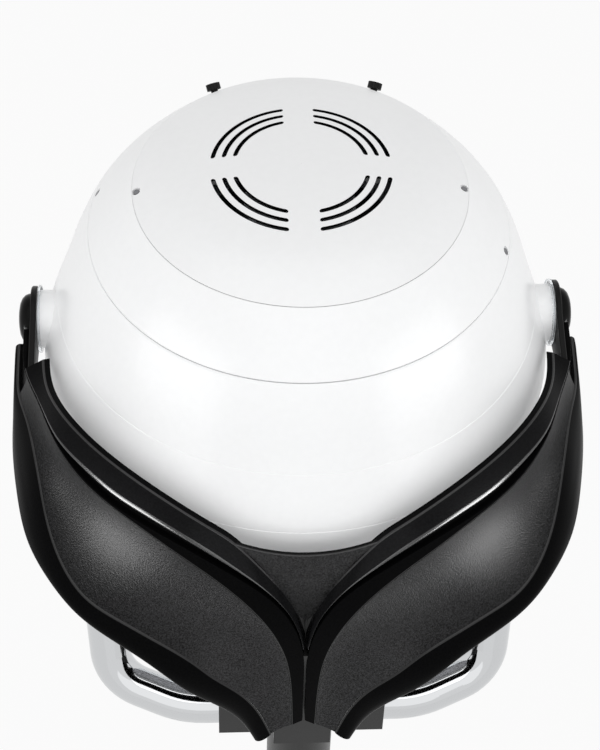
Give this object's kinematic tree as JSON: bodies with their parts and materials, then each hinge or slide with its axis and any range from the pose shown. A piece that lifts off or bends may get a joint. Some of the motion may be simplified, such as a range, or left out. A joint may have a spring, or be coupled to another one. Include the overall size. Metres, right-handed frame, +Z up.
{
  "type": "hood hair dryer",
  "caption": "Hood hair dryer: a white shell with fan and heater tilts in a winged black fork on a height-adjustable column with a castor base.",
  "frame": {"origin": "floor point under the column axis", "axes": "+Z up, -Y towards the sitter, X across the object along the hood tilt axis"},
  "size_m": [0.6272, 0.7835, 1.4745],
  "materials": {
    "shell_white": "glossy white moulded plastic",
    "rim_grey": "light grey soft rim trim",
    "liner_grey": "pale grey heat resistant plastic",
    "screw_steel": "bright steel",
    "panel_grey": "dark grey satin plastic",
    "switch_black": "black glossy plastic",
    "lamp_amber": "amber lens",
    "knob_black": "black satin plastic",
    "unit_plastic": "plain moulded housing",
    "motor_metal": "cast motor shell",
    "impeller_plastic": "black moulded wheel",
    "bracket_steel": "pressed sheet",
    "mica_board": "mica board",
    "heater_wire": "resistance wire coil",
    "visor_clear": "clear acrylic",
    "strap_black": "black painted flat steel",
    "fork_satin": "satin black moulded plastic",
    "leaf_grain": "fine grained black plastic",
    "cap_gloss": "glossy black plastic",
    "bush_plastic": "black bearing plastic",
    "chrome_plate": "bright chrome plate on steel",
    "collar_black": "black satin plastic",
    "castor_black": "black moulded plastic",
    "wheel_tread": "dark rubber tread"
  },
  "bodies": {
    "base": {"star_base": "chrome_plate", "base_cover": "collar_black", "column_outer_tube": "chrome_plate", "column_guide_bush": "bush_plastic", "height_collar": "collar_black", "cord_gland": "bush_plastic"},
    "clamp_knob": {"height_clamp_knob": "knob_black"},
    "mast": {"column_inner_tube": "chrome_plate", "swivel_collar": "chrome_plate"},
    "fork": {"fork_stem": "fork_satin", "fork_tube_yoke": "chrome_plate", "fork_centre_plate": "leaf_grain", "pivot_washers": "bush_plastic", "strap_left": "strap_black", "fork_arm_left": "fork_satin", "fork_wing_left": "fork_satin", "leaf_panel_left": "leaf_grain", "pivot_cap_left": "cap_gloss", "strap_right": "strap_black", "fork_arm_right": "fork_satin", "fork_wing_right": "fork_satin", "leaf_panel_right": "leaf_grain", "pivot_cap_right": "cap_gloss"},
    "hood": {"hood_top_cap": "shell_white", "hood_upper_shell": "shell_white", "hood_lower_shell": "shell_white", "hood_rim_trim": "rim_grey", "hood_inner_liner": "liner_grey", "hood_shell_screws": "screw_steel", "control_panel": "panel_grey", "power_switch_housing": "switch_black", "pilot_lamp": "lamp_amber", "timer_unit": "unit_plastic", "heat_regulator": "unit_plastic", "fan_motor": "motor_metal", "motor_bracket": "bracket_steel", "air_baffle": "bracket_steel", "heater_frame": "mica_board", "heater_coil": "heater_wire", "thermal_cutout": "unit_plastic", "pivot_boss_left": "shell_white", "pivot_boss_right": "shell_white", "pivot_pin_left": "screw_steel", "pivot_pin_right": "screw_steel"},
    "visor": {"visor": "visor_clear"},
    "timer_dial": {"timer_knob": "knob_black"},
    "heat_dial": {"heat_knob": "knob_black"},
    "rocker": {"power_rocker": "switch_black"},
    "fan": {"fan_shaft": "screw_steel", "fan_impeller": "impeller_plastic"},
    "castor_1": {"castor_body_1": "castor_black"},
    "wheels_1": {"castor_wheels_1": "wheel_tread"},
    "castor_2": {"castor_body_2": "castor_black"},
    "wheels_2": {"castor_wheels_2": "wheel_tread"},
    "castor_3": {"castor_body_3": "castor_black"},
    "wheels_3": {"castor_wheels_3": "wheel_tread"},
    "castor_4": {"castor_body_4": "castor_black"},
    "wheels_4": {"castor_wheels_4": "wheel_tread"},
    "castor_5": {"castor_body_5": "castor_black"},
    "wheels_5": {"castor_wheels_5": "wheel_tread"}
  },
  "joints": [
    {"name": "height_slide", "type": "slide", "parent": "base", "child": "mast", "axis": [0, 0, 1], "range_m": [-0.15, 0.2]},
    {"name": "clamp_turn", "type": "hinge", "parent": "base", "child": "clamp_knob", "pos_m": [0, 0.05, 0.757], "axis": [0, 1, 0], "range_deg": [0, 270]},
    {"name": "fork_swivel", "type": "hinge", "parent": "mast", "child": "fork", "pos_m": [0, 0, 1], "axis": [0, 0, 1], "range_deg": [-170, 170]},
    {"name": "hood_tilt", "type": "hinge", "parent": "fork", "child": "hood", "pos_m": [0, -0.23, 1.3], "axis": [-1, 0, 0], "range_deg": [-12, 60]},
    {"name": "visor_lift", "type": "hinge", "parent": "hood", "child": "visor", "pos_m": [0, -0.23, 1.3], "axis": [-1, 0, 0], "range_deg": [0, 80]},
    {"name": "timer_turn", "type": "hinge", "parent": "hood", "child": "timer_dial", "pos_m": [0.06728, -0.35653, 1.44273], "axis": [0.26, -0.7001, 0.6651], "range_deg": [-300, 0]},
    {"name": "heat_turn", "type": "hinge", "parent": "hood", "child": "heat_dial", "pos_m": [-0.06728, -0.35653, 1.44273], "axis": [-0.26, -0.7001, 0.6651], "range_deg": [-270, 0]},
    {"name": "power_rock", "type": "hinge", "parent": "hood", "child": "rocker", "pos_m": [0.029, -0.41, 1.3825], "axis": [1, 0, 0], "range_deg": [0, 16]},
    {"name": "fan_spin", "type": "hinge", "parent": "hood", "child": "fan", "pos_m": [0, -0.23, 1.37], "axis": [0, 0, 1], "continuous": true},
    {"name": "castor_swivel_1", "type": "hinge", "parent": "base", "child": "castor_1", "pos_m": [0, 0.315, 0.06], "axis": [0, 0, 1], "continuous": true},
    {"name": "castor_roll_1", "type": "hinge", "parent": "castor_1", "child": "wheels_1", "pos_m": [0, 0.296, 0.025], "axis": [-1, 0, 0], "continuous": true},
    {"name": "castor_swivel_2", "type": "hinge", "parent": "base", "child": "castor_2", "pos_m": [-0.29958, 0.09734, 0.06], "axis": [0, 0, 1], "continuous": true},
    {"name": "castor_roll_2", "type": "hinge", "parent": "castor_2", "child": "wheels_2", "pos_m": [-0.28151, 0.09147, 0.025], "axis": [-0.309, -0.9511, 0], "continuous": true},
    {"name": "castor_swivel_3", "type": "hinge", "parent": "base", "child": "castor_3", "pos_m": [-0.18515, -0.25484, 0.06], "axis": [0, 0, 1], "continuous": true},
    {"name": "castor_roll_3", "type": "hinge", "parent": "castor_3", "child": "wheels_3", "pos_m": [-0.17398, -0.23947, 0.025], "axis": [0.809, -0.5878, 0], "continuous": true},
    {"name": "castor_swivel_4", "type": "hinge", "parent": "base", "child": "castor_4", "pos_m": [0.18515, -0.25484, 0.06], "axis": [0, 0, 1], "continuous": true},
    {"name": "castor_roll_4", "type": "hinge", "parent": "castor_4", "child": "wheels_4", "pos_m": [0.17398, -0.23947, 0.025], "axis": [0.809, 0.5878, 0], "continuous": true},
    {"name": "castor_swivel_5", "type": "hinge", "parent": "base", "child": "castor_5", "pos_m": [0.29958, 0.09734, 0.06], "axis": [0, 0, 1], "continuous": true},
    {"name": "castor_roll_5", "type": "hinge", "parent": "castor_5", "child": "wheels_5", "pos_m": [0.28151, 0.09147, 0.025], "axis": [-0.309, 0.9511, 0], "continuous": true}
  ]
}
